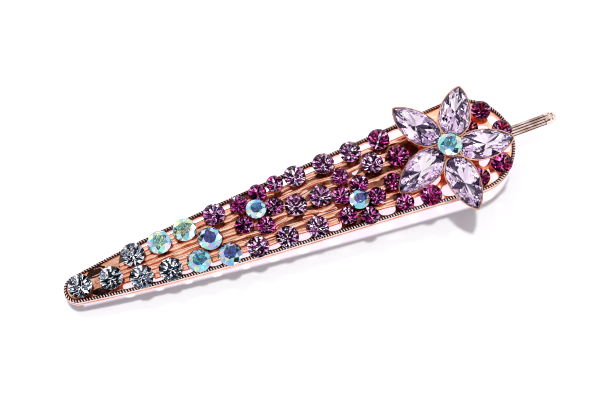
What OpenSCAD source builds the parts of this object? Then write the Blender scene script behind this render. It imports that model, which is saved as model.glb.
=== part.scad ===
// Jewelled hair pin: a cast teardrop plate set with faceted stones and a five-petal flower,
// soldered on the flat leg of a sprung pin whose crimped leg carries it at rest.
// Millimetres. X runs along the pin, Z is up, the table is Z = 0 and the origin is the
// resting flat of the crimped leg.

/* [Plate] */
// slope of the side where it leaves the narrow end, in degrees
side_swell = 9.6; // [7:0.1:11]
// height of the rim wall
rim_h = 1.7; // [1.4:0.05:2.2]
// thickness of the rim wall
rim_w = 0.7; // [0.5:0.05:0.9]
// thickness of the openwork floor
floor_t = 0.7; // [0.5:0.05:0.9]
// height of the veins on the floor
vein_h = 0.28; // [0.15:0.01:0.4]
// width of one vein
vein_w = 0.5; // [0.3:0.05:0.7]

/* [Stones] */
// diameter of the clear and coated round stones, which sets the size of the plate
d_large = 4.1; // [3.6:0.05:4.6]
// diameter of the lilac round stones
d_lilac = 3.85; // [3.4:0.05:4.3]
// diameter of the middle-sized round stones
d_mid = 3.5; // [3:0.05:3.9]
// diameter of the small round stones
d_small = 3.2; // [2.7:0.05:3.6]
// height of the girdles above the rim edge
girdle_z = 0.7; // [0.5:0.05:0.8]
// height of the raised stones in the two small flowers
raised_z = 1.6; // [1.5:0.05:2]
// crown height as a share of the radius
crown_k = 0.34; // [0.25:0.01:0.4]
// pavilion depth as a share of the radius
pavilion_k = 0.78; // [0.6:0.01:0.85]

/* [Flower] */
// length of a petal stone
petal_len = 10; // [8.6:0.1:11]
// width of a petal stone
petal_w = 5.4; // [4.7:0.1:5.8]
// droop of the petals towards their tips, in degrees
petal_droop = 5.5; // [3:0.5:8]
// height of the petal girdles above the rim edge at mid length
petal_z = 2.35; // [2.2:0.05:2.8]
// depth of the petal trays
tray_d = 1.3; // [1.2:0.05:1.4]
// diameter of the heart stone
heart_d = 4.3; // [3.8:0.1:4.8]
// share of its diameter by which the heart stone's girdle stands over the petals
heart_lift = 0.19; // [0.18:0.01:0.24]

/* [Pin] */
// width of the spring strip
strip_w = 2; // [1.7:0.1:2.3]
// thickness of the spring strip with its ribs
strip_t = 0.6; // [0.5:0.02:0.7]
// clear gap between the legs at the bend
bend_gap = 1.6; // [1.3:0.1:2]
// pitch of the plate above the table at rest, in degrees
pitch = 2.55; // [2.2:0.05:2.9]
// distance from the bend to the resting trough
trough_x = 56.5; // [54:0.5:59]
// pitch of the crimps
crimp_pitch = 5.5; // [5:0.1:6]
// half height of a crimp
crimp_a = 0.35; // [0.2:0.01:0.4]
// length of the flared tail beyond the plate
tail_len = 7.6; // [5:0.1:10]
// pitch of the tail against the plate, in degrees
tail_flare = 1; // [0.5:0.5:2.5]
// wall of the tip round the strip's corners
tip_wall = 0.1; // [0.08:0.01:0.2]

/* [Fits] */
// clearance around a stone in its cup or tray
stone_gap = 0.03; // [0.02:0.01:0.05]
// overhang of a round stone beyond its cup
overhang = 0.12; // [0.08:0.01:0.16]
// width of the lip of a cup
lip_w = 0.1; // [0.08:0.01:0.14]
// wall of a petal tray
tray_w = 0.17; // [0.14:0.01:0.22]
// clearance of the strip in its tip
tip_gap = 0.03; // [0.02:0.01:0.05]
// gap between the legs where they meet
meet_gap = 0.08; // [0.05:0.01:0.15]

/* [Hidden] */
$fn = 40;
eps = 0.01;
// the setting spreads with the largest of the stones, so that they keep their gaps
u = max(d_large / 4.1, d_lilac / 3.85, d_mid / 3.5, d_small / 3.2);
plate_len = 82.1 * u;
narrow_r = 2.5 * u;
wide_r = 9 * u;
// plate heights in the plate's own frame: the rim edge is z = 0
z_foot = -rim_h;
// the rim wall steps in above its foot
foot_h = 0.45;
foot_step = 0.09;
z_floor = -rim_h + 0.45;
z_web = z_floor + floor_t;
xs = -plate_len / 2 + narrow_r;
xl = plate_len / 2 - wide_r;
side_end = 5.3;
// bend and legs, in the resting frame
rc = (bend_gap + strip_t) / 2;
bx = -trough_x;
bz = strip_t / 2 + rc;
bend_px = -plate_len / 2 + rim_w + 0.5 + rc + strip_t / 2;
flat_cut = 0.03;
hover = 0.08;
tip_d = norm([strip_w, strip_t]) + 2 * tip_wall;
petal_in_z = petal_z + petal_len / 2 * sin(petal_droop);
heart_z = petal_in_z + heart_lift * heart_d;
bloom_r = (d_mid + d_small) / 2 - 0.15 * u;
// share of a petal stone's length by which its widest place lies inwards of the middle
pear_k = 0.12;
// share of an ellipse in the outer arc of a petal stone, which blunts its tip
tip_k = 0.35;

rose = [0.80, 0.52, 0.42];
steel = [0.86, 0.74, 0.70];
clear_c = [0.80, 0.84, 0.88];
aurora_c = [0.55, 0.80, 0.92];
lilac_c = [0.62, 0.40, 0.60];
plum_c = [0.45, 0.10, 0.30];
fuchsia_c = [0.60, 0.10, 0.34];
petal_c = [0.86, 0.76, 0.88];

// ring of five round a raised stone: centre and first angle
bloom_1 = [-6.0, 1.7, -6];
bloom_2 = [10.95, -3.15, -4];
function bloom(b, k) = [b[0], b[1]] + bloom_r / u * [cos(b[2] + 72 * k), sin(b[2] + 72 * k)];

// each stone: x, y, diameter and girdle height on the plate
function stone(p, d, z = girdle_z) = [p[0] * u, p[1] * u, d, z];
clears = [for (p = [[-38.05, 0], [-32.8, -0.5], [-27.95, -2.2], [-28.1, 2.0], [-22.95, -2.75]])
  stone(p, d_large)];
auroras = concat(
  [for (p = [[-23.2, 2.4], [-18.5, 2.95], [-15.0, -0.1], [-18.05, -3.1], [-12.8, -3.95]])
    stone(p, d_large)],
  [stone(bloom_1, d_mid, raised_z), stone(bloom_2, d_mid, raised_z)]);
lilacs = [for (p = [[-12.9, 3.7], [2.35, 5.2], [7.8, 5.5], [12.9, 5.85], [15.7, 2.55],
  [0.65, 0.15], [5.15, 0.2], [2.7, -4.85], [-2.7, -4.6], [-8.0, -4.45]]) stone(p, d_lilac)];
plums = concat(
  [for (k = [0:4]) stone(bloom(bloom_1, k), d_small)],
  [stone([-1.35, 5.15], d_small - 0.2)],
  [for (k = [0:4]) stone(bloom(bloom_2, k), d_small)],
  [stone([9.6, 2.2], d_small - 0.2)]);
fuchsias = [stone([18.4, 6.2], d_lilac), stone([20.4, 2.15], d_lilac), stone([17.75, -1.9], d_small),
  stone([18.2, -6.2], d_small - 0.1), stone([22.8, -6.6], d_lilac), stone([37.2, 4.75], d_mid),
  stone([39.1, 0.1], d_mid), stone([36.5, -5.6], d_lilac), stone([32.1, -6.75], d_small),
  stone([33.9, 2.4], d_small)];
round_stones = concat(clears, auroras, lilacs, plums, fuchsias);

// flower: heart, then for each petal its angle, its inner end as a share of the heart's diameter
// and its shift to the left
heart = [28.8 * u, -0.2 * u];
petals = [[116.5, 0.44, 0.8], [58, 0.41, -0.05], [-6, 0.31, -1.05], [-87, 0.46, -0.45], [203.5, 0.4, -0.35]];

// teardrop outline, moved inwards by d
function arc(c, r, a0, a1, n) = [for (i = [0:n]) c + r * [cos(a0 + (a1 - a0) * i / n), sin(a0 + (a1 - a0) * i / n)]];
q0 = [xs, 0] + narrow_r * [-sin(side_swell), cos(side_swell)];
q3 = [xl, 0] + wide_r * [-sin(side_end), cos(side_end)];
reach = norm(q3 - q0) / 3;
q1 = q0 + reach * [cos(side_swell), sin(side_swell)];
q2 = q3 - reach * [cos(side_end), sin(side_end)];
function bez(t) = pow(1 - t, 3) * q0 + 3 * t * pow(1 - t, 2) * q1 + 3 * t * t * (1 - t) * q2 + t * t * t * q3;
function unit(v) = v / norm(v);
function bez_dir(t) = unit(pow(1 - t, 2) * (q1 - q0) + 2 * t * (1 - t) * (q2 - q1) + t * t * (q3 - q2));
function side(d) = [for (i = [1:15]) let (t = i / 16, u = bez_dir(t)) bez(t) + d * [u[1], -u[0]]];
function half(d) = concat(
  arc([xs, 0], narrow_r - d, 180, 90 + side_swell, 9),
  side(d),
  arc([xl, 0], wide_r - d, 90 + side_end, 0, 14));
function outline(d) = let (h = half(d), n = len(h))
  concat(h, [for (i = [n - 2:-1:1]) [h[i][0], -h[i][1]]]);
function half_w(x) = lookup(x, half(0));

module band(d0, d1) {
  difference() {
    polygon(outline(d0));
    polygon(outline(d1));
  }
}

// openwork
// rounded opening, fuller than an ellipse
function fuller(v) = sign(v) * pow(abs(v), 0.72);
module lens(p, a, b, turn = 0) {
  translate(p) rotate(turn)
    polygon([for (i = [0:15]) [a * fuller(cos(i * 22.5 + 11.25)), b * fuller(sin(i * 22.5 + 11.25))]]);
}

// windows between the stones along the rim: x, half length, half width
upper_windows = [[-35.1, 1.3, 0.5], [-25.65, 1.2, 0.62], [-20.85, 1.25, 0.8], [-15.8, 1.35, 0.85],
  [-10.7, 1.2, 0.75], [-3.2, 0.9, 0.5], [0.45, 1.0, 0.9], [5.05, 1.35, 1.05], [10.35, 1.35, 1.1],
  [15.7, 1.4, 1.1], [21.6, 1.5, 1.2], [26.6, 2.0, 1.2]];
lower_windows = [[-35.2, 1.2, 0.5], [-30.4, 1.1, 0.5], [-25.4, 1.3, 0.7], [-20.5, 1.3, 0.8],
  [-15.45, 1.35, 0.95], [-10.4, 1.3, 0.95], [-5.35, 1.4, 1.0], [0, 1.45, 1.05], [5.55, 1.3, 1.1],
  [15.05, 1.5, 1.2], [20.5, 1.1, 1.1], [27.4, 2.4, 1.2]];
end_windows = [[-72, 1.0, 0.75], [-19, 1.5, 0.9], [19.5, 1.3, 0.9], [66, 1.6, 1.0]];
// slits between the veins: x, y, half length, half width, turn
slits = [[-29.9, 0.35, 0.9, 0.2, 0], [-25.4, 0.05, 1.6, 0.22, 0], [-20.3, -0.1, 1.2, 0.25, 0],
  [-10.6, 0.55, 1.4, 0.25, 8], [-10.3, -1.0, 1.5, 0.25, -6], [-3.0, -1.9, 1.0, 0.3, 25],
  [0.1, 3.0, 1.2, 0.42, 10], [4.6, 3.3, 1.5, 0.45, 6], [10.2, 4.3, 0.9, 0.3, 10], [12.6, 2.6, 0.75, 0.4, 35],
  [2.9, 2.1, 0.8, 0.35, 20], [5.3, -2.6, 1.9, 0.45, 4], [2.0, -2.25, 1.0, 0.35, -10],
  [-0.4, -2.6, 0.8, 0.35, -20], [15.9, -4.9, 0.9, 0.4, 0], [14.6, 0.0, 0.8, 0.3, 0],
  [17.9, 3.3, 0.35, 0.9, 0], [22.0, -1.6, 1.3, 0.8, 20], [24.6, 4.6, 1.3, 0.9, -40],
  [24.8, -3.9, 1.2, 0.8, 30], [33.4, 5.8, 0.9, 0.7, 30], [35.1, -1.2, 1.3, 0.8, -10],
  [34.3, -3.7, 1.3, 0.8, 40], [36.4, 1.8, 1.1, 0.9, -20]];

module floor_shape() {
  difference() {
    polygon(outline(rim_w / 2));
    for (w = upper_windows)
      lens([w[0] * u, half_w(w[0] * u) - rim_w - (w[2] + 0.1) * u], w[1] * u, w[2] * u, 5);
    for (w = lower_windows)
      lens([w[0] * u, -half_w(w[0] * u) + rim_w + (w[2] + 0.1) * u], w[1] * u, w[2] * u, -5);
    for (w = end_windows)
      lens([xl, 0] + (wide_r - rim_w - (w[2] + 0.1) * u) * [cos(w[0]), sin(w[0])],
        w[2] * u, w[1] * u, w[0]);
    for (s = slits) lens([s[0], s[1]] * u, s[2] * u, s[3] * u, s[4]);
  }
}

// a vein runs lengthwise at a share f of the floor's half width and sways beyond the first bloom
function sway(x) = x < -9 ? 0 : 0.32 * sin((x + 9) * 32);
function vein_y(x, f) = f * (0.72 * half_w(x * u) / u - 0.5)
  + (f == 0 ? 0 : sign(f)) * sway(x) * (abs(f) > 0.6 ? 0.6 : 1);
module vein(f, x0, x1) {
  n = ceil((x1 - x0) / 1.4);
  function px(i) = x0 + (x1 - x0) * i / n;
  function w(i) = vein_w / 2 * min(1, 0.3 + 0.35 * min(i, n - i));
  polygon(concat(
    [for (i = [0:n]) [px(i) * u, vein_y(px(i), f) * u + w(i)]],
    [for (i = [n:-1:0]) [px(i) * u, vein_y(px(i), f) * u - w(i)]]));
}

// cups for the round stones
// height of the seat cone's top, and of the lip that a cup of radius r needs on it
function seat_top(s) = s[3] - 0.03 * s[2] - stone_gap;
function seat_slope(s) = (s[2] / 2 + stone_gap - 0.12) / (s[2] / 2 * pavilion_k);
function lip_z(s) = seat_top(s) - (overhang + lip_w + stone_gap) / seat_slope(s);
// outside of a cup, down to the underside of the floor; the stone hides it from above
module cup_body(s) {
  r = s[2] / 2 - overhang;
  foot_r = r - 0.45;
  neck = lip_z(s) - 0.55;
  translate([s[0], s[1], z_floor]) cylinder(r = foot_r, h = neck - z_floor + eps);
  translate([s[0], s[1], neck]) cylinder(r1 = foot_r, r2 = r, h = 0.4);
  translate([s[0], s[1], neck + 0.4 - eps]) cylinder(r = r, h = 0.15 + eps);
}
// conical seat under the pavilion
module seat(s) {
  depth = s[2] / 2 * pavilion_k;
  translate([s[0], s[1], seat_top(s) - depth]) cylinder(r1 = 0.12, r2 = s[2] / 2 + stone_gap, h = depth);
}

// the plate's frame, pitched up on the flat leg
px0 = bx - (rc + strip_t / 2) * sin(pitch) - (bend_px * cos(pitch) - z_floor * sin(pitch));
pz0 = bz + (rc + strip_t / 2) * cos(pitch) - (bend_px * sin(pitch) + z_floor * cos(pitch));
module on_plate() {
  translate([px0, 0, pz0]) rotate([0, -pitch, 0]) children();
}

// cast plate
module cast_plate() color(rose) on_plate() difference() {
  union() {
    translate([0, 0, z_foot]) linear_extrude(foot_h) band(0, rim_w);
    translate([0, 0, z_foot + foot_h - eps]) linear_extrude(rim_h - 0.3 - foot_h + eps) band(foot_step, rim_w);
    translate([0, 0, -0.3 - eps]) linear_extrude(0.17 + eps) band(0.18, 0.6);
    translate([0, 0, z_floor]) linear_extrude(floor_t) floor_shape();
    translate([0, 0, z_web - eps]) linear_extrude(vein_h + eps) {
      vein(0, -35.5, 20);
      for (f = [-1, 1]) {
        vein(f / 3, -33.5, 21.5);
        vein(f * 2 / 3, -31, 22);
        vein(f, -27.5, 23.5);
      }
    }
    for (s = round_stones) cup_body(s);
  }
  for (s = round_stones) seat(s);
}

// faceted stones
// half width of an ellipse at dx from its middle, with the half axes a and b
function oval(dx, a, b) = b * sqrt(max(0, 1 - dx * dx / (a * a)));
// half width of a petal stone at x: a blunt arc outwards of the widest place, an ellipse inwards
function pear_y(x, l, w) = let (dx = x + pear_k * l, lo = l / 2 + pear_k * l, big = (lo * lo + w * w / 4) / w)
  dx > 0 ? (1 - tip_k) * (sqrt(max(0, big * big - dx * dx)) - big + w / 2) + tip_k * oval(dx, lo, w / 2)
  : oval(dx, l - lo, w / 2);
function pear_pt(a, l, w) = [l / 2 * cos(a), sign(round(sin(a) * 1000)) * pear_y(l / 2 * cos(a), l, w)];
// outline point k of 16, round or pear-shaped, at scale f
function rim_pt(k, l, w, f) = let (a = 22.5 * k) f * (l == w ? l / 2 * [cos(a), sin(a)] : pear_pt(a, l, w));
function up(p, z) = [p[0], p[1], z];
// brilliant cut: table, eight kites, stars and halves, girdle, pavilion mains and halves
module gem(l, w, crown, depth) {
  g = 0.03 * w / 2;
  hm = crown * 0.58;
  pts = concat(
    [for (k = [0:7]) up(rim_pt(2 * k, l, w, 0.55), g + crown)],
    [for (k = [0:7]) up(rim_pt(2 * k + 1, l, w, 0.8), g + hm)],
    [for (k = [0:15]) up(rim_pt(k, l, w, 1), g)],
    [for (k = [0:15]) up(rim_pt(k, l, w, 1), -g)],
    [for (k = [0:7]) up(rim_pt(2 * k + 1, l, w, 0.35), -g - depth * 0.677)],
    [[0, 0, -g - depth]]);
  function t(k) = k % 8;
  function m(k) = 8 + (k + 8) % 8;
  function gu(k) = 16 + (k + 16) % 16;
  function gl(k) = 32 + (k + 16) % 16;
  function p(k) = 48 + (k + 8) % 8;
  polyhedron(pts, concat(
    [[for (k = [7:-1:0]) t(k)]],
    [for (k = [0:7]) [t(k), t(k + 1), m(k)]],
    [for (k = [0:7]) [t(k), m(k), gu(2 * k)]],
    [for (k = [0:7]) [t(k), gu(2 * k), m(k - 1)]],
    [for (k = [0:7]) [m(k), gu(2 * k + 1), gu(2 * k)]],
    [for (k = [0:7]) [m(k), gu(2 * k + 2), gu(2 * k + 1)]],
    [for (k = [0:15]) [gu(k), gu(k + 1), gl(k)]],
    [for (k = [0:15]) [gu(k + 1), gl(k + 1), gl(k)]],
    [for (k = [0:7]) [p(k), gl(2 * k), gl(2 * k + 1)]],
    [for (k = [0:7]) [p(k), gl(2 * k + 1), gl(2 * k + 2)]],
    [for (k = [0:7]) [56, p(k - 1), gl(2 * k)]],
    [for (k = [0:7]) [56, gl(2 * k), p(k)]]), convexity = 4);
}
module round_stone(s) {
  on_plate() translate([s[0], s[1], s[3]]) rotate(s[0] * 37)
    gem(s[2], s[2], s[2] / 2 * crown_k, s[2] / 2 * pavilion_k);
}

// flower
// frame of one petal: origin at mid length on its girdle plane, x towards the tip
module at_petal(i) {
  translate([heart[0], heart[1], petal_z]) rotate(petals[i][0])
    translate([petals[i][1] * heart_d + petal_len / 2, petals[i][2], 0]) rotate([0, petal_droop, 0]) children();
}
module petal_stone(i) color(petal_c) on_plate() at_petal(i)
  gem(petal_len, petal_w, petal_w * 0.17, petal_w * 0.19);

// one closed boat-shaped tray: outer skin up, lip, inner skin down
function tray_ring(f, grow, z) = let (l = petal_len * f + 2.6 * grow, w = petal_w * f + 2 * grow)
  [for (k = [0:23]) up(pear_pt(15 * k, l, w), z)];
module tray() {
  rings = [
    tray_ring(0.5, 0, -tray_d),
    tray_ring(0.86, tray_w * 0.6, -tray_d * 0.5),
    tray_ring(1, stone_gap + tray_w, -0.1),
    tray_ring(1, stone_gap + tray_w, 0.04),
    tray_ring(1, stone_gap, 0.04),
    tray_ring(1, stone_gap, -0.1),
    tray_ring(0.3, stone_gap, -tray_d + 0.14)];
  n = 24;
  r = len(rings);
  polyhedron([for (q = rings) each q], concat(
    [[for (k = [0:n - 1]) k]],
    [for (j = [0:r - 2]) for (k = [0:n - 1])
      [j * n + k, j * n + n + k, j * n + n + (k + 1) % n]],
    [for (j = [0:r - 2]) for (k = [0:n - 1])
      [j * n + k, j * n + n + (k + 1) % n, j * n + (k + 1) % n]],
    [[for (k = [n - 1:-1:0]) (r - 1) * n + k]]), convexity = 6);
}
// post on the plate, collar that joins the inner ends of the trays, and cup of the heart stone
module heart_seat_body() {
  s = [heart[0], heart[1], heart_d, heart_z];
  r = heart_d / 2 - overhang;
  post_r = 0.35 * heart_d;
  collar_r = petals[3][1] * heart_d + 0.9;
  translate([heart[0], heart[1], z_web]) cylinder(r = post_r, h = heart_z - 0.8 - z_web);
  translate([heart[0], heart[1], petal_in_z - 1.3]) cylinder(r1 = post_r, r2 = collar_r, h = 0.7);
  translate([heart[0], heart[1], petal_in_z - 0.6 - eps]) cylinder(r = collar_r, h = 0.25);
  translate([heart[0], heart[1], lip_z(s) - 0.8]) cylinder(r1 = post_r, r2 = r, h = 0.65 + eps);
  translate([heart[0], heart[1], lip_z(s) - 0.15]) cylinder(r = r, h = 0.15);
}
module flower_mount() color(rose) on_plate() difference() {
  union() {
    for (i = [0:4]) at_petal(i) tray();
    heart_seat_body();
  }
  for (i = [0:4]) at_petal(i) petal_room();
  seat([heart[0], heart[1], heart_d, heart_z]);
}
// room that a petal stone needs in its tray
module petal_room() {
  gem(petal_len + 2 * stone_gap, petal_w + 2 * stone_gap, petal_w * 0.17, petal_w * 0.19 + stone_gap);
}

module heart_stone() color(aurora_c) on_plate() translate([heart[0], heart[1], heart_z])
  rotate(11) gem(heart_d, heart_d, heart_d / 2 * crown_k, heart_d / 2 * pavilion_k);

module petal_1() petal_stone(0);
module petal_2() petal_stone(1);
module petal_3() petal_stone(2);
module petal_4() petal_stone(3);
module petal_5() petal_stone(4);

// round stones, numbered from the narrow end of each list
module clear_1() color(clear_c) round_stone(clears[0]);
module clear_2() color(clear_c) round_stone(clears[1]);
module clear_3() color(clear_c) round_stone(clears[2]);
module clear_4() color(clear_c) round_stone(clears[3]);
module clear_5() color(clear_c) round_stone(clears[4]);
module aurora_1() color(aurora_c) round_stone(auroras[0]);
module aurora_2() color(aurora_c) round_stone(auroras[1]);
module aurora_3() color(aurora_c) round_stone(auroras[2]);
module aurora_4() color(aurora_c) round_stone(auroras[3]);
module aurora_5() color(aurora_c) round_stone(auroras[4]);
module aurora_6() color(aurora_c) round_stone(auroras[5]);
module aurora_7() color(aurora_c) round_stone(auroras[6]);
module lilac_1() color(lilac_c) round_stone(lilacs[0]);
module lilac_2() color(lilac_c) round_stone(lilacs[1]);
module lilac_3() color(lilac_c) round_stone(lilacs[2]);
module lilac_4() color(lilac_c) round_stone(lilacs[3]);
module lilac_5() color(lilac_c) round_stone(lilacs[4]);
module lilac_6() color(lilac_c) round_stone(lilacs[5]);
module lilac_7() color(lilac_c) round_stone(lilacs[6]);
module lilac_8() color(lilac_c) round_stone(lilacs[7]);
module lilac_9() color(lilac_c) round_stone(lilacs[8]);
module lilac_10() color(lilac_c) round_stone(lilacs[9]);
module plum_1() color(plum_c) round_stone(plums[0]);
module plum_2() color(plum_c) round_stone(plums[1]);
module plum_3() color(plum_c) round_stone(plums[2]);
module plum_4() color(plum_c) round_stone(plums[3]);
module plum_5() color(plum_c) round_stone(plums[4]);
module plum_6() color(plum_c) round_stone(plums[5]);
module plum_7() color(plum_c) round_stone(plums[6]);
module plum_8() color(plum_c) round_stone(plums[7]);
module plum_9() color(plum_c) round_stone(plums[8]);
module plum_10() color(plum_c) round_stone(plums[9]);
module plum_11() color(plum_c) round_stone(plums[10]);
module plum_12() color(plum_c) round_stone(plums[11]);
module fuchsia_1() color(fuchsia_c) round_stone(fuchsias[0]);
module fuchsia_2() color(fuchsia_c) round_stone(fuchsias[1]);
module fuchsia_3() color(fuchsia_c) round_stone(fuchsias[2]);
module fuchsia_4() color(fuchsia_c) round_stone(fuchsias[3]);
module fuchsia_5() color(fuchsia_c) round_stone(fuchsias[4]);
module fuchsia_6() color(fuchsia_c) round_stone(fuchsias[5]);
module fuchsia_7() color(fuchsia_c) round_stone(fuchsias[6]);
module fuchsia_8() color(fuchsia_c) round_stone(fuchsias[7]);
module fuchsia_9() color(fuchsia_c) round_stone(fuchsias[8]);
module fuchsia_10() color(fuchsia_c) round_stone(fuchsias[9]);

// sprung pin, in the resting frame
function ease(t) = let (u = min(1, max(0, t))) u * u * (3 - 2 * u);
// the legs meet under the wide end of the plate
meet_px = plate_len / 2 - 6.5 * u;
meet_x = px0 + meet_px * cos(pitch) - z_floor * sin(pitch);
tail_x = px0 + (plate_len / 2 + tail_len) * cos(pitch);
function under_z(x) = bz + (rc - strip_t / 2) / cos(pitch) + (x - bx) * tan(pitch);
function tail_z(x) = under_z(meet_x) - meet_gap - strip_t / 2 - tan(tail_flare - pitch) * (x - meet_x);
function crimp_win(x) = ease((x + 29) / 4) * (1 - ease(x / 6));
// the crimped run lies just above the table and only its last trough rests on it
function run_z(x) = strip_t / 2
  + crimp_a * crimp_win(x) * (1 - cos(360 * x / crimp_pitch))
  + hover * ease(abs(x) / 4) * ease((x - bx) / 6)
  - flat_cut * (1 - ease(abs(x) / 3));
function leg_z(x) = let (s = ease((x - 0.6) / (meet_x - 0.6))) (1 - s) * run_z(x) + s * min(tail_z(meet_x), tail_z(x));
run_n = ceil((meet_x - bx) / 0.5);
lower_path = concat(
  [for (i = [0:run_n]) let (x = bx + (meet_x - bx) * i / run_n) [x, leg_z(x)]],
  [[tail_x, tail_z(tail_x)]]);
// the bend belongs to the upper leg and starts where it lies on the table
upper_path = concat(
  [for (i = [0:20]) let (a = 270 - (180 - pitch) * i / 20) [bx, bz] + rc * [cos(a), sin(a)]],
  [[bx, bz] + rc * [-sin(pitch), cos(pitch)] + (meet_px + 0.5 - bend_px) * [cos(pitch), sin(pitch)]]);
// left-hand normal of a path at point i
function path_n(p, i) = let (v = unit(p[min(i + 1, len(p) - 1)] - p[max(i - 1, 0)])) [-v[1], v[0]];
// closed side profile between offsets a and b along the normal; end cuts stay square
function ribbon(p, a, b) = concat(
  [for (i = [0:len(p) - 1]) p[i] + a * (i == 0 ? end_n(p) : path_n(p, i))],
  [for (i = [len(p) - 1:-1:0]) p[i] + b * (i == 0 ? end_n(p) : path_n(p, i))]);
function end_n(p) = [0, p[1][0] < p[0][0] ? -1 : 1];

// side profile p extruded across y from y0 to y1
module across(y0, y1) {
  translate([0, y1, 0]) rotate([90, 0, 0]) linear_extrude(y1 - y0) children();
}
rib_h = 0.14;
// strip with four ribs on the face that grips the hair; side is +1 or -1 along the normal
module ribbed_strip(p, s) {
  across(-strip_w / 2, strip_w / 2) polygon(ribbon(p, -s * strip_t / 2, s * (strip_t / 2 - rib_h)));
  for (k = [0:3]) let (y = -strip_w / 2 + strip_w * (k + 0.5) / 4)
    across(y - strip_w * 0.08, y + strip_w * 0.08)
      polygon(ribbon(p, s * (strip_t / 2 - rib_h - 0.05), s * strip_t / 2));
}
module upper_leg() color(steel) ribbed_strip(upper_path, -1);
module lower_leg() color(steel) intersection() {
  ribbed_strip(lower_path, 1);
  translate([bx - 1, -strip_w, 0]) cube([tail_x - bx + 4, 2 * strip_w, 20]);
}

// rounded tip pushed over the end of the tail
module leg_tip() color(steel) translate([tail_x, 0, tail_z(tail_x)]) rotate([0, tail_flare - pitch, 0])
  difference() {
    rotate([0, 90, 0]) rotate_extrude()
      polygon(concat([[0, -0.7], [tip_d / 2 - 0.12, -0.7], [tip_d / 2 - 0.04, -0.6]],
        [for (a = [-20:10:90]) [tip_d / 2 * cos(a), 0.35 + tip_d / 2 * sin(a)]]));
    translate([-1, -strip_w / 2 - tip_gap, -strip_t / 2 - tip_gap])
      cube([1 + tip_gap, strip_w + 2 * tip_gap, strip_t + 2 * tip_gap]);
  }

cast_plate();
flower_mount();
petal_1();
petal_2();
petal_3();
petal_4();
petal_5();
heart_stone();
clear_1();
clear_2();
clear_3();
clear_4();
clear_5();
aurora_1();
aurora_2();
aurora_3();
aurora_4();
aurora_5();
aurora_6();
aurora_7();
lilac_1();
lilac_2();
lilac_3();
lilac_4();
lilac_5();
lilac_6();
lilac_7();
lilac_8();
lilac_9();
lilac_10();
plum_1();
plum_2();
plum_3();
plum_4();
plum_5();
plum_6();
plum_7();
plum_8();
plum_9();
plum_10();
plum_11();
plum_12();
fuchsia_1();
fuchsia_2();
fuchsia_3();
fuchsia_4();
fuchsia_5();
fuchsia_6();
fuchsia_7();
fuchsia_8();
fuchsia_9();
fuchsia_10();
upper_leg();
lower_leg();
leg_tip();
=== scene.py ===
import math
import random

import bmesh
import bpy
from mathutils import Matrix, Vector


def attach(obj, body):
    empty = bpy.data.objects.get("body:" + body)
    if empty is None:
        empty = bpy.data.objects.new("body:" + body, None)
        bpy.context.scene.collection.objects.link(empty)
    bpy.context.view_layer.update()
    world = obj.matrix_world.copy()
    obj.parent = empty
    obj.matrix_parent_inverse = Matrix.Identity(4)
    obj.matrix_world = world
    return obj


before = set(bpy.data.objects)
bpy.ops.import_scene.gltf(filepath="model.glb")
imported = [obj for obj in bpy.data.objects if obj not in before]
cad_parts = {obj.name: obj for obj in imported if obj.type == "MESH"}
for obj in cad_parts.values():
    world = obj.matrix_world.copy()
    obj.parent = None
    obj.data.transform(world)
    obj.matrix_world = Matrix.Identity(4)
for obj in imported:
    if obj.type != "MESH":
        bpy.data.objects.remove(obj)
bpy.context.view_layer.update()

MM = 0.001
WHITE = (1, 1, 1)

# Plate frame: the rim's edge is z = 0, the origin the plate's centre, x runs to the wide end
PITCH = math.radians(2.55)
PLATE_AT = (-18.206 * MM, 0, 5.758 * MM)
PLATE = Matrix.Translation(PLATE_AT) @ Matrix.Rotation(-PITCH, 4, "Y")
PLATE_BACK = PLATE.inverted()
PLATE_LEN = 82.1 * MM
RIM_W = 0.7 * MM
WEB_Z = -0.55 * MM
LEDGE_Z = -0.3 * MM
# The two end arcs, and the slope of the side where it meets each of them
NARROW_R = 2.5 * MM
WIDE_R = 9.0 * MM
NARROW_X = -PLATE_LEN / 2 + NARROW_R
WIDE_X = PLATE_LEN / 2 - WIDE_R
SIDE_SWELL = math.radians(9.6)
SIDE_END = math.radians(5.3)

# Camera, fitted to the photograph in the plate frame
AIM = Vector((2.4, -0.06, 0)) * MM
AZIMUTH = math.radians(-21.567)
ELEVATION = math.radians(70)
DISTANCE = 220 * MM
LENS = 75.7
SENSOR = 36
NEAREST, FARTHEST = 0.01, 20


def make_camera():
    data = bpy.data.cameras.new("camera")
    data.lens = LENS
    data.sensor_width = SENSOR
    data.clip_start = NEAREST
    data.clip_end = FARTHEST
    camera = bpy.data.objects.new("camera", data)
    bpy.context.collection.objects.link(camera)
    back = Vector((
        math.sin(AZIMUTH) * math.cos(ELEVATION),
        -math.cos(AZIMUTH) * math.cos(ELEVATION),
        math.sin(ELEVATION),
    ))
    right = Vector((0, 0, 1)).cross(back).normalized()
    up = back.cross(right)
    turn = Matrix((right, up, back)).transposed().to_4x4()
    camera.matrix_world = PLATE @ Matrix.Translation(AIM + back * DISTANCE) @ turn
    bpy.context.scene.camera = camera


make_camera()


# Outline of the plate

HALVINGS = 20


def side_point(t):
    """Point of the plate's side, a Bezier curve from the narrow end's arc to the wide end's."""
    start = Vector((NARROW_X, 0)) + NARROW_R * Vector((-math.sin(SIDE_SWELL), math.cos(SIDE_SWELL)))
    end = Vector((WIDE_X, 0)) + WIDE_R * Vector((-math.sin(SIDE_END), math.cos(SIDE_END)))
    reach = (end - start).length / 3
    near = start + reach * Vector((math.cos(SIDE_SWELL), math.sin(SIDE_SWELL)))
    far = end - reach * Vector((math.cos(SIDE_END), math.sin(SIDE_END)))
    s = 1 - t
    return s ** 3 * start + 3 * t * s ** 2 * near + 3 * t * t * s * far + t ** 3 * end


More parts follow.
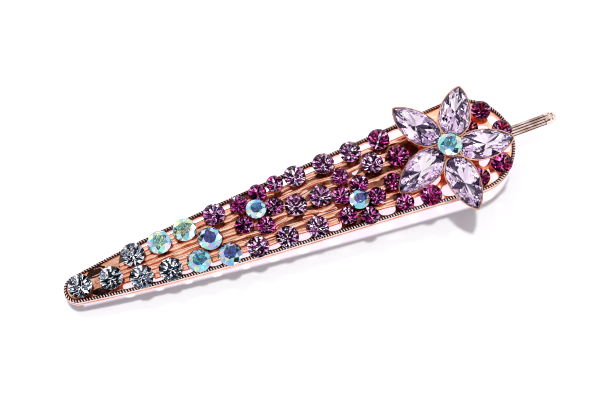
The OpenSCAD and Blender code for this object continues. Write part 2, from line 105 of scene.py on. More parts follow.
def half_width(x):
    """Half width of the plate at x, between its end arcs, found by halving."""
    low, high = 0.0, 1.0
    for _ in range(HALVINGS):
        middle = (low + high) / 2
        if side_point(middle).x < x:
            low = middle
        else:
            high = middle
    return side_point(low).y


def inset_of(at):
    """How far a point lies inside the plate's edge."""
    if at.x > WIDE_X:
        return WIDE_R - Vector((at.x - WIDE_X, at.y)).length
    if at.x < NARROW_X:
        return NARROW_R - Vector((at.x - NARROW_X, at.y)).length
    return half_width(at.x) - abs(at.y)


# Nodes and materials

def tree_of(owner):
    """The emptied node tree of a material or world."""
    owner.use_nodes = True
    tree = owner.node_tree
    tree.nodes.clear()
    return tree


def add(tree, kind, **values):
    node = tree.nodes.new("ShaderNode" + kind)
    for key, value in values.items():
        setattr(node, key, value)
    return node


def math_node(tree, operation, *values):
    """Result of a Math node; a value is a number or another node's output."""
    node = add(tree, "Math", operation=operation)
    for socket, value in zip(node.inputs, values):
        if isinstance(value, (int, float)):
            socket.default_value = value
        else:
            tree.links.new(value, socket)
    return node.outputs[0]


def principled(name, **values):
    """Material with a Principled shader; a value's underscores stand for a socket's spaces."""
    material = bpy.data.materials.new(name)
    tree = tree_of(material)
    shader = add(tree, "BsdfPrincipled")
    for key, value in values.items():
        shader.inputs[key.replace("_", " ")].default_value = value
    output = add(tree, "OutputMaterial")
    tree.links.new(shader.outputs["BSDF"], output.inputs["Surface"])
    return material, tree, shader


def object_space(tree, scale=(1, 1, 1)):
    """Object coordinates, stretched by a scale for each axis."""
    coords = add(tree, "TexCoord")
    mapping = add(tree, "Mapping")
    mapping.inputs["Scale"].default_value = scale
    tree.links.new(coords.outputs["Object"], mapping.inputs["Vector"])
    return mapping.outputs["Vector"]


def noise(tree, vector, scale, detail):
    node = add(tree, "TexNoise")
    node.inputs["Scale"].default_value = scale
    node.inputs["Detail"].default_value = detail
    tree.links.new(vector, node.inputs["Vector"])
    return node.outputs["Fac"]


def ramp(tree, fac, stops):
    """Colour ramp from a list of (place, colour)."""
    node = add(tree, "ValToRGB")
    elements = node.color_ramp.elements
    while len(elements) < len(stops):
        elements.new(0.5)
    for element, (place, color) in zip(elements, stops):
        element.position = place
        element.color = (*color, 1)
    tree.links.new(fac, node.inputs["Fac"])
    return node.outputs["Color"]


def span(tree, fac, low, high, from_low, from_high):
    """A value's range from_low to from_high, drawn out to low to high."""
    node = add(tree, "MapRange")
    node.inputs["From Min"].default_value = from_low
    node.inputs["From Max"].default_value = from_high
    node.inputs["To Min"].default_value = low
    node.inputs["To Max"].default_value = high
    tree.links.new(fac, node.inputs["Value"])
    return node.outputs["Result"]


def clad(node, surfaces):
    """Give a node's mesh its materials, and return the mesh."""
    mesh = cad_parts[node].data
    mesh.materials.clear()
    for surface in surfaces:
        mesh.materials.append(surface)
    return mesh


# Rose-gold plating: scale and detail of each noise
PATCHES = (420, 3)
LINES = (3.0, 4)
WAVES = (900, 2)
# Where the patches are dark and light, and what the lines' values do to the roughness
PATCH_DARK, PATCH_LIGHT = 0.35, 0.62
LINE_RANGE = (0.3, 0.7)
ROUGHNESS = (0.10, 0.24)
BUMP = 0.5
# Polishing lines run along the pin; on the flower's mount they have no direction
LONG_STREAK = (60, 900, 900)
EVEN_STREAK = (500, 500, 500)
DEEP, SHALLOW = 0.006 * MM, 0.003 * MM


def rose_gold(name, light, dark, streak=LONG_STREAK, depth=DEEP):
    """Polished plating: darker and lighter patches, casting waves and fine polishing lines."""
    material, tree, shader = principled(name, Metallic=1.0)
    patches = noise(tree, object_space(tree), *PATCHES)
    color = ramp(tree, patches, [(PATCH_DARK, dark), (PATCH_LIGHT, light)])
    tree.links.new(color, shader.inputs["Base Color"])
    lines = noise(tree, object_space(tree, streak), *LINES)
    tree.links.new(span(tree, lines, *ROUGHNESS, *LINE_RANGE), shader.inputs["Roughness"])
    waves = noise(tree, object_space(tree), *WAVES)
    bump = add(tree, "Bump")
    bump.inputs["Strength"].default_value = BUMP
    bump.inputs["Distance"].default_value = depth
    tree.links.new(math_node(tree, "ADD", waves, lines), bump.inputs["Height"])
    tree.links.new(bump.outputs["Normal"], shader.inputs["Normal"])
    return material


GOLD = ((0.99, 0.61, 0.46), (0.86, 0.38, 0.23))
# Plain plating; painted shade in the grooves; a paler painted reflection on the rim's outer wall
# and beads; near-black painted shade in the gaps under the beads and in the recesses
PLATE_PLATING_AND_PAINTED_LIGHT = [
    rose_gold("rose_gold_plate_finish", *GOLD),
    rose_gold("rose_gold_groove_painted_shade", (0.34, 0.12, 0.07), (0.035, 0.012, 0.01)),
    rose_gold("rose_gold_wall_painted_reflection", (1.0, 0.85, 0.83), (0.94, 0.70, 0.66), depth=SHALLOW),
    rose_gold("rose_gold_gap_painted_shade", (0.05, 0.02, 0.018), (0.01, 0.006, 0.006)),
]
PLAIN, GROOVE_SHADE, WALL_REFLECTION, GAP_SHADE = range(4)
# Plain plating of the strips, and near-black painted shade for the grooves between their ribs
STRIP_PLATING_AND_PAINTED_SHADE = [
    rose_gold("rose_gold_strip_finish", (0.86, 0.69, 0.63), (0.50, 0.33, 0.28), depth=SHALLOW),
    rose_gold("rose_gold_rib_gap_painted_shade", (0.10, 0.06, 0.06), (0.02, 0.015, 0.015), depth=SHALLOW),
]
MOUNT_FINISH = rose_gold("rose_gold_mount_finish", *GOLD, streak=EVEN_STREAK)
TIP_FINISH = rose_gold(
    "rose_gold_tip_finish", (0.95, 0.78, 0.72), (0.82, 0.58, 0.50), depth=SHALLOW)

# How much of a face's normal points up: at least FLAT on the web, at most STEEP on a wall
FLAT, STEEP = 0.9, 0.5
WEB_SLACK = 0.02 * MM
LEDGE_SLACK = 0.01 * MM
CUP_CLEARANCE = 0.05 * MM
WALL_DEPTH = 0.15 * MM
# The stretch of the web that has stems
STEMS_FROM, STEMS_TO = -31 * MM, 24 * MM


def dress_plate():
    """Painted shade under the beads and in the grooves round stems and cups, and a paler painted
    reflection on the rim's outside.
    """
    turn = PLATE_BACK.to_3x3()
    for face in clad("cast_plate", PLATE_PLATING_AND_PAINTED_LIGHT).polygons:
        at = PLATE_BACK @ face.center
        rise = (turn @ face.normal).z
        inset = inset_of(at)
        steep = abs(rise) < STEEP
        beaded = inset < RIM_W and at.z > LEDGE_Z - LEDGE_SLACK
        on_web = abs(at.z - WEB_Z) < WEB_SLACK and rise > FLAT and STEMS_FROM < at.x < STEMS_TO
        on_cup = inset > RIM_W + CUP_CLEARANCE and steep and at.z > WEB_Z
        # The ridge under the beads, the grooves and the cups' sides take painted shade, the rim's
        # outer wall a painted reflection
        if beaded and (rise > STEEP or at.z > LEDGE_Z + LEDGE_SLACK):
            face.material_index = GAP_SHADE
        elif on_web or on_cup:
            face.material_index = GROOVE_SHADE
        else:
            face.material_index = WALL_REFLECTION if inset < WALL_DEPTH and steep else PLAIN


RIB_PITCH = 0.5 * MM
RIB_HALF = 0.13 * MM


def dress_strip(node, side):
    """Painted shade, near black, in the grooves between the ribs of a strip; side is +1 where they
    are on its upper face.
    """
    for face in clad(node, STRIP_PLATING_AND_PAINTED_SHADE).polygons:
        off = abs((face.center.y / RIB_PITCH) % 1 - 0.5) * RIB_PITCH
        face.material_index = 1 if side * face.normal.z > STEEP and off > RIB_HALF else 0


dress_plate()
dress_strip("lower_leg", 1)
dress_strip("upper_leg", -1)
clad("flower_mount", [MOUNT_FINISH])
clad("leg_tip", [TIP_FINISH])


# Stones

# Tint of each kind's reflections, and colour stops for its front and its dark and light backs:
# painted light, shade and reflections, one value on each facet
LOOKS = {
    "clear": dict(
        sheen=(0.15, 0.16, 0.25),
        front=[(0.0, (0.72, 0.76, 0.88)), (0.3, (0.97, 0.98, 1.0)), (1.0, WHITE)],
        dark=[(0.0, (0.002, 0.002, 0.004)), (0.7, (0.03, 0.035, 0.055)), (0.9, (0.40, 0.45, 0.56))],
        light=[(0.0, (0.80, 0.84, 0.95)), (0.2, (0.98, 0.99, 1.0)), (1.0, WHITE)],
    ),
    "lilac": dict(
        sheen=(0.28, 0.10, 0.25),
        front=[(0.0, (0.66, 0.36, 0.62)), (0.25, (0.97, 0.78, 0.95)), (0.55, (1.0, 0.98, 1.0))],
        dark=[(0.0, (0.006, 0.001, 0.005)), (0.7, (0.07, 0.012, 0.055)), (0.9, (0.50, 0.18, 0.42))],
        light=[(0.0, (0.84, 0.48, 0.76)), (0.25, (1.0, 0.74, 0.95)), (0.5, (1.0, 0.92, 1.0)),
               (0.75, WHITE)],
    ),
    "plum": dict(
        sheen=(0.20, 0.035, 0.19),
        front=[(0.0, (0.40, 0.12, 0.34)), (0.3, (0.96, 0.60, 0.88)), (0.6, (1.0, 0.92, 1.0))],
        dark=[(0.0, (0.005, 0.0005, 0.003)), (0.7, (0.05, 0.003, 0.03)), (0.9, (0.40, 0.03, 0.22))],
        light=[(0.0, (0.62, 0.10, 0.40)), (0.25, (0.97, 0.30, 0.70)), (0.5, (1.0, 0.64, 0.92)),
               (0.8, (1.0, 0.94, 1.0))],
    ),
    "fuchsia": dict(
        sheen=(0.22, 0.035, 0.20),
        front=[(0.0, (0.46, 0.13, 0.35)), (0.3, (0.98, 0.62, 0.87)), (0.6, (1.0, 0.93, 1.0))],
        dark=[(0.0, (0.006, 0.0005, 0.003)), (0.7, (0.06, 0.004, 0.035)),
              (0.9, (0.46, 0.04, 0.24))],
        light=[(0.0, (0.66, 0.11, 0.40)), (0.25, (0.99, 0.32, 0.68)), (0.5, (1.0, 0.66, 0.90)),
               (0.8, (1.0, 0.94, 1.0))],
    ),
    "petal": dict(
        sheen=(0.7, 0.5, 0.8),
        front=[(0.0, (0.74, 0.64, 0.80)), (0.25, (0.96, 0.90, 0.97)), (1.0, (1.0, 0.98, 1.0))],
        dark=[(0.0, (0.03, 0.02, 0.05)), (0.28, (0.10, 0.07, 0.15)), (0.34, (0.84, 0.68, 0.89)),
              (0.7, (0.98, 0.88, 0.99))],
        light=[(0.0, (0.86, 0.70, 0.90)), (0.3, (0.99, 0.88, 1.0)), (1.0, (1.0, 0.97, 1.0))],
    ),
    "aurora": dict(
        sheen=WHITE,
        front=[(0.0, (0.20, 0.86, 1.0)), (0.2, (0.80, 0.98, 1.0)), (0.35, (1.0, 0.98, 0.36)),
               (0.5, (0.74, 0.58, 1.0)), (0.65, (0.42, 1.0, 0.86)), (0.8, (0.22, 0.60, 1.0)),
               (0.95, WHITE)],
        dark=[(0.0, (0.02, 0.02, 0.14)), (0.25, (0.12, 0.20, 0.80)), (0.5, (0.45, 0.85, 1.0)),
              (0.8, (0.80, 0.75, 1.0))],
        light=[(0.0, (0.70, 0.98, 1.0)), (0.3, (1.0, 1.0, 0.80)), (0.6, (0.95, 0.88, 1.0)),
               (0.8, WHITE)],
    ),
}
# Coated stones: the tint of each table, from the narrow end
AURORA_TABLES = {
    "aurora_1": (1.0, 0.99, 0.72),
    "aurora_2": (1.0, 0.84, 0.60),
    "aurora_3": (0.06, 0.05, 0.62),
    "aurora_4": (0.04, 0.62, 0.55),
    "aurora_5": (0.05, 0.08, 0.70),
    "aurora_6": (0.05, 0.38, 0.85),
    "aurora_7": (0.20, 0.12, 0.68),
    "heart_stone": (0.04, 0.55, 0.62),
}
# A table whose tint adds up to more than this lies over backs of painted light alone
PALE_TABLE = 2.0
# How much of the light the coat mirrors
COAT = 0.7
GLASS_IOR = 1.6
FOIL_ROUGHNESS = 0.04
# Reflection at a grazing angle, and shift of the seed, for the backs of painted shade and of
# painted light
PAINTED_SHADE_FOIL = (0.02, 0.5)
PAINTED_LIGHT_FOIL = (1.0, 0.25)
# Normals are rounded to this step, so that a facet has one value all over
FACET_STEP = (0.02, 0.02, 0.02)
SEED_SHIFT = (1.37, 0.71, 2.13)
FRONT, PAINTED_SHADE_BACK, PAINTED_LIGHT_BACK, TABLE = range(4)
TABLE_RISE = 0.98
BACK_RISE = -0.05
RING_STEPS = 12


def facet_value(tree, seed):
    """A random value for each facet, the same all over it."""
    geometry = add(tree, "NewGeometry")
    turned = add(
        tree, "VectorTransform", vector_type="NORMAL", convert_from="WORLD", convert_to="OBJECT")
    tree.links.new(geometry.outputs["True Normal"], turned.inputs["Vector"])
    grid = add(tree, "VectorMath", operation="SNAP")
    grid.inputs[1].default_value = FACET_STEP
    tree.links.new(turned.outputs["Vector"], grid.inputs[0])
    shift = add(tree, "VectorMath", operation="ADD")
    shift.inputs[1].default_value = [seed * share for share in SEED_SHIFT]
    tree.links.new(grid.outputs[0], shift.inputs[0])
    white = add(tree, "TexWhiteNoise", noise_dimensions="3D")
    tree.links.new(shift.outputs[0], white.inputs["Vector"])
    return white.outputs["Value"]


def faceted(name, stops, seed, **values):
    """Material with a colour of its own on each facet: painted light and shade, facet by facet."""
    material, tree, shader = principled(name, **values)
    tree.links.new(ramp(tree, facet_value(tree, seed), stops), shader.inputs["Base Color"])
    return material


def cut_glass(name, stops, seed, sheen, coat):
    """The clear front of a stone, tinted facet by facet with painted light and shade; a coat
    mirrors part of the light.
    """
    return faceted(
        name, stops, seed, Transmission_Weight=1.0, Metallic=coat, Roughness=0.0, IOR=GLASS_IOR,
        Specular_Tint=(*sheen, 1))


def foil(name, stops, seed, back):
    """The mirrored back of a stone, coloured facet by facet with painted reflections."""
    edge, shift = back
    return faceted(
        name, stops, seed + shift, Metallic=1.0, Roughness=FOIL_ROUGHNESS,
        Specular_Tint=(edge, edge, edge, 1))


def stone_materials_with_painted_facets(node, kind, seed):
    """Front, back of painted shade, back of painted light, and table, in this order."""
    look = LOOKS[kind]
    tint = AURORA_TABLES.get(node)
    pale = tint and sum(tint) > PALE_TABLE
    front = cut_glass(
        node + "_front", look["front"], seed, look["sheen"], COAT if kind == "aurora" else 0.0)
    # The backs are painted shade and painted light; under a pale table both are painted light
    dark = foil(node + "_back_painted_shade", look["light" if pale else "dark"], seed, PAINTED_SHADE_FOIL)
    light = foil(node + "_back_painted_light", look["light"], seed, PAINTED_LIGHT_FOIL)
    table = front
    if tint:
        table = cut_glass(node + "_table", [(0.0, tint), (1.0, tint)], seed, look["sheen"], 0.0)
    return front, dark, light, table


def dress_stone(node, kind, seed):
    """Clear front and table over a back of facets painted dark and light in turn round each ring,
    as painted shade and reflections.
    """
    turn = PLATE_BACK.to_3x3()
    rings = {}
    for face in clad(node, stone_materials_with_painted_facets(node, kind, seed)).polygons:
        out = turn @ face.normal
        face.material_index = TABLE if out.z > TABLE_RISE else FRONT
        if out.z < BACK_RISE:
            ring = rings.setdefault(round(out.z * RING_STEPS), {})
            ring.setdefault(round(math.atan2(out.y, out.x), 1), []).append(face)
    for ring in rings.values():
        for place, way in enumerate(sorted(ring)):
            for face in ring[way]:
                face.material_index = PAINTED_LIGHT_BACK if place % 2 else PAINTED_SHADE_BACK


for place, node in enumerate(sorted(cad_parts)):
    kind = "aurora" if node == "heart_stone" else node.rsplit("_", 1)[0]
    if kind in LOOKS:
        dress_stone(node, kind, place)


# Pieces of the scene alone, all drawn in the plate frame

def rides_plate(name, shape, surface):
    """A piece of the ornament from a finished bmesh in the plate frame."""
    mesh = bpy.data.meshes.new(name)
    bmesh.ops.recalc_face_normals(shape, faces=shape.faces)
    shape.transform(PLATE)
    shape.to_mesh(mesh)
    shape.free()
    mesh.polygons.foreach_set("use_smooth", [True] * len(mesh.polygons))
    mesh.materials.append(PLATE_PLATING_AND_PAINTED_LIGHT[surface])
    piece = bpy.data.objects.new(name, mesh)
    bpy.context.collection.objects.link(piece)
    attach(piece, "ornament")


def join_rings(shape, rings, closed):
    """Faces from each ring of vertices to the next; closed where the rings come round."""
    count = len(rings[0])
    for here, there in zip(rings, rings[1:]):
        for k in range(count if closed else count - 1):
            after = (k + 1) % count
            shape.faces.new((here[k], here[after], there[after], there[k]))


# Rounded stems on the openwork, over the plain veins of the solid; lengths in mm.
# Each pair of stems has a place from the middle (0) to the outermost (1), a first and a last x
STEMS = [(0, -35.5, 20), (1 / 3, -33.5, 21.5), (2 / 3, -31, 22), (1, -27.5, 23.5)]
# The outermost stem runs at this share of the half width, less a margin
STEM_SHARE, STEM_MARGIN = 0.72, 0.5
# The stems sway from this x on, by so much, and turn so many degrees for each mm
SWAY_FROM, SWAY, SWAY_TURN = -9, 0.32, 32
# Stems farther out than this place sway less
OUTER_FROM, OUTER_SWAY = 0.5, 0.6
STEM_STEP = 0.3
# How far a stem's end goes under a stone
STEM_OVERLAP = 0.35
STEM_WIDTH, STEM_HEIGHT = 0.54, 0.42
STEM_FILL = 0.50
# Waves along a stem: share of the size, turn for each mm
WIDTH_WAVE, HEIGHT_WAVE = (0.06, 1.9), (0.08, 1.3)
STEM_SINK = 0.05
STEM_SIDES = 8
PHASES = (0, 6.3)
ROUND_KINDS = ("clear", "aurora", "lilac", "plum", "fuchsia")


def outer_stem(x):
    """Distance of the outermost stem from the middle."""
    return STEM_SHARE * half_width(x * MM) / MM - STEM_MARGIN


def stem_y(x, place):
    """Where the stem at a place from -1 to 1 runs at x."""
    sway = 0
    if place and x >= SWAY_FROM:
        sway = SWAY * math.sin(math.radians((x - SWAY_FROM) * SWAY_TURN))
    reach = OUTER_SWAY if abs(place) > OUTER_FROM else 1
    return place * outer_stem(x) + math.copysign(reach, place) * sway


def round_stones():
    """Centre and radius of each round stone on the plate."""
    found = []
    for node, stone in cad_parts.items():
        if node.rsplit("_", 1)[0] in ROUND_KINDS:
            points = [(PLATE_BACK @ v.co).xy for v in stone.data.vertices]
            centre = sum(points, Vector((0, 0))) / len(points)
            found.append((centre, max((p - centre).length for p in points)))
    return found


def stem_runs(place, start, end, stones):
    """Stretches of a stem that lie clear of the stones, as lists of points."""
    runs, run = [], []
    count = math.ceil((end - start) / STEM_STEP)
    for i in range(count + 1):
        x = start + (end - start) * i / count
        point = Vector((x, stem_y(x, place)))
        if any((point * MM - centre).length < radius - STEM_OVERLAP * MM
               for centre, radius in stones):
            runs.append(run)
            run = []
        else:
            run.append(point)
    runs.append(run)
    return [run for run in runs if len(run) > 2]


def stem_ring(shape, point, phase):
    """Half round section of a stem, narrower where the stems crowd."""
    x = point.x
    share, turn = WIDTH_WAVE
    width = min(STEM_WIDTH, STEM_FILL * outer_stem(x) / 3)
    width *= 1 + share * math.sin(turn * x + phase)
    share, turn = HEIGHT_WAVE
    height = STEM_HEIGHT * (1 + share * math.sin(turn * x + 2 * phase))
    ring = []
    for k in range(STEM_SIDES + 1):
        a = math.pi * k / STEM_SIDES
        across, up = width * math.cos(a), height * math.sin(a)
        ring.append(shape.verts.new(
            Vector((x, point.y + across, WEB_Z / MM - STEM_SINK + up)) * MM))
    return ring


def make_stems():
    random.seed(11)
    stones = round_stones()
    shape = bmesh.new()
    for place, start, end in STEMS:
        for side in (1, -1) if place else (1,):
            phase = random.uniform(*PHASES)
            for run in stem_runs(side * place, start, end, stones):
                rings = [stem_ring(shape, point, phase) for point in run]
                join_rings(shape, rings, closed=False)
                shape.faces.new(rings[0])
                shape.faces.new(rings[-1])
    rides_plate("stems", shape, PLAIN)


make_stems()

# Dished recesses beside the first two stones, near black, as painted shade: x, y, half length, half
# width in mm, degrees
DISHES = [(-34.8, 1.75, 1.75, 0.85, 9), (-35.0, -1.75, 1.5, 0.7, -9)]
# From the lip to the middle: share of the size, height in mm
DISH_PROFILE = ((1.0, 0.0), (0.76, 0.03), (0.6, -0.12), (0.3, -0.22))
DISH_SIDES = 24
DISH_LIFT = 0.02


def make_dishes():
    shape = bmesh.new()
    for x, y, length, width, degrees in DISHES:
        middle = Matrix.Translation(Vector((x, y, WEB_Z / MM + DISH_LIFT)) * MM)
        place = middle @ Matrix.Rotation(math.radians(degrees), 4, "Z")
        rings = []
        for share, height in DISH_PROFILE:
            ring = []
            for k in range(DISH_SIDES):
                a = math.tau * k / DISH_SIDES
                point = (length * share * math.cos(a), width * share * math.sin(a), height)
                ring.append(shape.verts.new(place @ (Vector(point) * MM)))
            rings.append(ring)
        join_rings(shape, rings, closed=True)
        shape.faces.new(rings[-1])
    rides_plate("painted_shade_recesses", shape, GAP_SHADE)


make_dishes()

# Fine beads on the rim, each a short grain that lies across it at a skew
BEAD_R = 0.27 * MM
BEAD_PITCH = 0.47 * MM
BEAD_Z = -0.16 * MM
BEAD_INSET = 0.37 * MM
BEAD_SPREAD = (0.92, 1.08)
BEAD_FORM = Matrix.Diagonal((0.50, 1.15, 1.0, 1.0))
BEAD_SKEW = math.radians(25)
# Points on the line round the plate: narrow end, side, wide end
NARROW_POINTS, SIDE_POINTS, WIDE_POINTS = 24, 80, 48


def arc(x, radius, first, last, count):
    """Points on an arc round a centre on the middle line, from the first angle to the last."""
    angles = [first + (last - first) * i / (count - 1) for i in range(count)]
    return [Vector((x, 0)) + radius * Vector((math.cos(a), math.sin(a))) for a in angles]


def rim_line(inset):
    """Closed line round the plate, inset from its edge."""
    upper = arc(NARROW_X, NARROW_R - inset, math.pi, math.pi / 2 + SIDE_SWELL, NARROW_POINTS)
    for i in range(1, SIDE_POINTS):
        here, there = side_point((i - 0.5) / SIDE_POINTS), side_point((i + 0.5) / SIDE_POINTS)
        along = (there - here).normalized()
        upper.append(side_point(i / SIDE_POINTS) + inset * Vector((along.y, -along.x)))
    upper += arc(WIDE_X, WIDE_R - inset, math.pi / 2 + SIDE_END, 0, WIDE_POINTS)
    lower = [Vector((p.x, -p.y)) for p in upper[-2:0:-1]]
    return upper + lower


def spaced(line, pitch):
    """Points at equal steps along a closed line, with their directions."""
    closed = line + line[:1]
    total = sum((b - a).length for a, b in zip(closed, closed[1:]))
    count = round(total / pitch)
    step = total / count
    points, walked, due = [], 0.0, 0.0
    for a, b in zip(closed, closed[1:]):
        length = (b - a).length
        while due <= walked + length and len(points) < count:
            points.append((a.lerp(b, (due - walked) / length), (b - a).normalized()))
            due += step
        walked += length
    return points


def make_beads():
    random.seed(5)
    shape = bmesh.new()
    for point, along in spaced(rim_line(BEAD_INSET), BEAD_PITCH):
        size = BEAD_R * random.uniform(*BEAD_SPREAD)
        turn = Matrix.Rotation(math.atan2(along.y, along.x) + BEAD_SKEW, 4, "Z")
        place = Matrix.Translation((point.x, point.y, BEAD_Z)) @ turn @ BEAD_FORM
        bmesh.ops.create_icosphere(shape, subdivisions=2, radius=size, matrix=place)
    # The beads take the rim wall's paler plating, a painted reflection
    rides_plate("rim_beads", shape, WALL_REFLECTION)


make_beads()


# Studio

# Share of the floor's white that the lamps don't draw, in the open and under the openwork; under
# the openwork it is painted light that hides most of the plate's shadow
FLOOR_LIFT, PAINTED_LIGHT_UNDER_PLATE = 0.22, 0.92
FLOOR_TINT = (1.0, 0.84, 0.97, 1)
FLOOR_SIZE = 8
FLOOR_GREY = 0.9
FLOOR_ROUGHNESS = 0.3
# The high lamp leans to the back, so that the plate's shadow lies farther to the front
LAMP_TILT = 0.13
# The patch of painted light on the floor ends this far inside the shadow's front edge, and reaches
# past its back edge, because it is moved back as a whole
RIM_MARGIN = RIM_W + 0.1 * MM
BACK_SHIFT = 1.05 * MM
# Depth of the openwork's lower face in the plate frame
WEB_DEPTH = 1.2 * MM
PATCH_SOFTNESS = 0.25 * MM
# The tail: last x, y and half width of its patch of painted light on the floor, which hides most of
# the tail's shadow, and its share of the lift
TAIL_TO, TAIL_Y, TAIL_HALF = 36 * MM, -0.6 * MM, 2.6 * MM
TAIL_PAINTED_LIGHT, TAIL_SOFTNESS = 0.8, 0.9 * MM


def any_ray(tree, *kinds):
    """1 for rays of any of these kinds, otherwise 0."""
    path = add(tree, "LightPath")
    total = path.outputs[kinds[0]]
    for kind in kinds[1:]:
        total = math_node(tree, "MAXIMUM", total, path.outputs[kind])
    return total


def painted_light_under_plate(tree):
    """Painted light on the floor that hides most of the shadow: 1 under the openwork, less under
    the tail, 0 outside, with soft edges.
    """
    def calc(operation, *values):
        return math_node(tree, operation, *values)

    coords = add(tree, "TexCoord")
    parts = add(tree, "SeparateXYZ")
    tree.links.new(coords.outputs["Object"], parts.inputs[0])
    x, y = parts.outputs["X"], parts.outputs["Y"]
    off = calc("ABSOLUTE", calc("SUBTRACT", y, BACK_SHIFT))
    narrow_x, wide_x = PLATE_AT[0] + NARROW_X, PLATE_AT[0] + WIDE_X
    inset = RIM_MARGIN - BACK_SHIFT
    # the shadow's edge is a chord from arc to arc with a bow, wider where the plate is higher
    slope = (WIDE_R - NARROW_R) / (wide_x - narrow_x)
    lean = LAMP_TILT * math.tan(PITCH)
    drop = LAMP_TILT * (PLATE_AT[2] - WEB_DEPTH - PLATE_AT[0] * math.tan(PITCH))
    chord = calc("MULTIPLY_ADD", x, slope + lean, NARROW_R - narrow_x * slope - inset + drop)
    bulge = half_width((NARROW_R - WIDE_R) / 2) - (NARROW_R + WIDE_R) / 2
    bow = calc("MULTIPLY", calc("SUBTRACT", x, narrow_x), calc("SUBTRACT", wide_x, x))
    line = calc("MULTIPLY_ADD", bow, 4 * bulge / (wide_x - narrow_x) ** 2, chord)
    side = calc("SUBTRACT", off, line)
    beyond = calc("MAXIMUM", calc("SUBTRACT", x, wide_x), 0.0)
    squares = calc("ADD", calc("MULTIPLY", beyond, beyond), calc("MULTIPLY", off, off))
    end = calc("SUBTRACT", calc("SQRT", squares), WIDE_R - inset + drop + lean * wide_x)
    outside = calc("MAXIMUM", calc("MAXIMUM", side, end), calc("SUBTRACT", narrow_x, x))
    tail_ends = calc("MAXIMUM", calc("SUBTRACT", x, TAIL_TO), calc("SUBTRACT", wide_x, x))
    tail_off = calc("ABSOLUTE", calc("SUBTRACT", y, TAIL_Y))
    tail = calc("MAXIMUM", tail_ends, calc("SUBTRACT", tail_off, TAIL_HALF))
    return calc(
        "MAXIMUM",
        span(tree, outside, 1.0, 0.0, -PATCH_SOFTNESS, PATCH_SOFTNESS),
        span(tree, tail, TAIL_PAINTED_LIGHT, 0.0, -TAIL_SOFTNESS, TAIL_SOFTNESS),
    )


def make_floor():
    """White table with the shadows; a lift that only the eye and mirrors see keeps it white, and
    painted light under the openwork and the tail hides most of their shadows.
    """
    bpy.ops.mesh.primitive_plane_add(size=FLOOR_SIZE, location=(0, 0, 0))
    floor = bpy.context.object
    floor.name = "floor"
    material, tree, shader = principled(
        "white_table", Base_Color=(FLOOR_GREY, FLOOR_GREY, FLOOR_GREY, 1),
        Roughness=FLOOR_ROUGHNESS, Emission_Color=FLOOR_TINT)
    # Painted light under the plate and the tail, over the even lift
    share = math_node(
        tree, "MULTIPLY_ADD", painted_light_under_plate(tree), PAINTED_LIGHT_UNDER_PLATE - FLOOR_LIFT, FLOOR_LIFT)
    seen = any_ray(tree, "Is Camera Ray", "Is Glossy Ray", "Is Transmission Ray")
    tree.links.new(math_node(tree, "MULTIPLY", share, seen), shader.inputs["Emission Strength"])
    # seen from below, the table is clear
    both = add(tree, "MixShader")
    tree.links.new(add(tree, "NewGeometry").outputs["Backfacing"], both.inputs[0])
    tree.links.new(shader.outputs["BSDF"], both.inputs[1])
    tree.links.new(add(tree, "BsdfTransparent").outputs[0], both.inputs[2])
    tree.links.new(both.outputs[0], tree.nodes["Material Output"].inputs["Surface"])
    floor.data.materials.append(material)


# Light on the object from all round
FILL = (0.330, 0.325, 0.340)
# What mirrors and glass see: soft boxes all round with dark gaps, and a patchy ceiling
BOX_NOISE = (2.6, 1.0)
BOXES = [(0.42, (0.015, 0.015, 0.02)), (0.47, WHITE), (0.62, WHITE), (0.66, (2.2, 2.2, 2.3))]
CEILING_NOISE = (6.5, 1.0)
CEILING = [
    (0.39, (0.01, 0.01, 0.015)), (0.43, (0.66, 0.65, 0.67)), (0.52, (0.86, 0.85, 0.87)),
    (0.56, WHITE), (0.59, (1.4, 1.4, 1.42)), (0.63, (2.8, 2.8, 2.9)),
]
# The boxes end and the ceiling begins between these heights
CEILING_FROM = (0.80, 0.90)
# Name, direction, angle in degrees, strength and colour. The high lamp draws the rim's narrow
# shadow, the back one the long faint shadow of the tail
LAMPS = [
    ("high_lamp", (0.01, LAMP_TILT, 1.0), 5.0, 1.95, (0.97, 1.0, 0.98)),
    ("back_lamp", (-0.147, 0.553, 1.0), 6.0, 0.32, (0.99, 1.0, 1.0)),
]


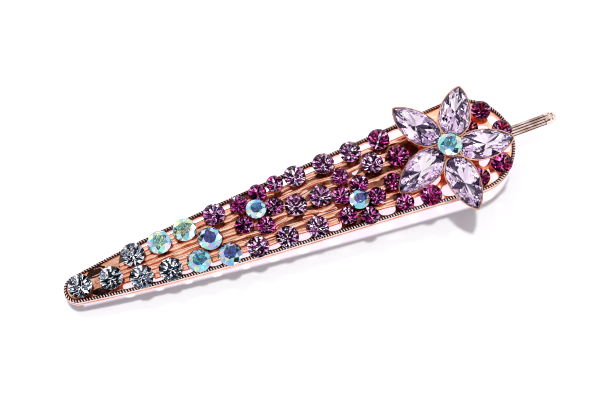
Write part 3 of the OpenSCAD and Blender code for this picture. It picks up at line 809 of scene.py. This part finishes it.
def blend_colors(tree, factor, first, second):
    """Mix of two colours; each is a colour or another node's output."""
    node = add(tree, "Mix", data_type="RGBA")
    tree.links.new(factor, node.inputs["Factor"])
    for key, color in (("A", first), ("B", second)):
        if isinstance(color, tuple):
            node.inputs[key].default_value = (*color, 1)
        else:
            tree.links.new(color, node.inputs[key])
    return node.outputs["Result"]


def make_world():
    """White for the camera, a room for reflections, and an even fill for everything else."""
    world = bpy.data.worlds.new("studio")
    bpy.context.scene.world = world
    tree = tree_of(world)
    toward = add(tree, "TexCoord").outputs["Generated"]
    boxes = ramp(tree, noise(tree, toward, *BOX_NOISE), BOXES)
    ceiling = ramp(tree, noise(tree, toward, *CEILING_NOISE), CEILING)
    parts = add(tree, "SeparateXYZ")
    tree.links.new(toward, parts.inputs[0])
    height = span(tree, parts.outputs["Z"], 0.0, 1.0, *CEILING_FROM)
    room = blend_colors(tree, height, boxes, ceiling)
    mirrored = any_ray(tree, "Is Glossy Ray", "Is Transmission Ray")
    lit = blend_colors(tree, mirrored, FILL, room)
    final = blend_colors(tree, any_ray(tree, "Is Camera Ray"), lit, WHITE)
    background = add(tree, "Background")
    output = add(tree, "OutputWorld")
    tree.links.new(final, background.inputs["Color"])
    tree.links.new(background.outputs[0], output.inputs["Surface"])


def make_lamp(name, toward, angle, strength, color):
    data = bpy.data.lights.new(name, "SUN")
    data.angle = math.radians(angle)
    data.energy = strength
    data.color = color
    lamp = bpy.data.objects.new(name, data)
    bpy.context.collection.objects.link(lamp)
    lamp.rotation_euler = Vector(toward).to_track_quat("Z", "Y").to_euler()
    lamp.visible_glossy = False


make_floor()
make_world()
for lamp in LAMPS:
    make_lamp(*lamp)

scene = bpy.context.scene
scene.view_settings.view_transform = "Standard"
scene.cycles.filter_width = 1.0
scene.cycles.max_bounces = 16
scene.cycles.glossy_bounces = 10
scene.cycles.transmission_bounces = 12
scene.cycles.diffuse_bounces = 3
scene.cycles.caustics_reflective = False
scene.cycles.caustics_refractive = False
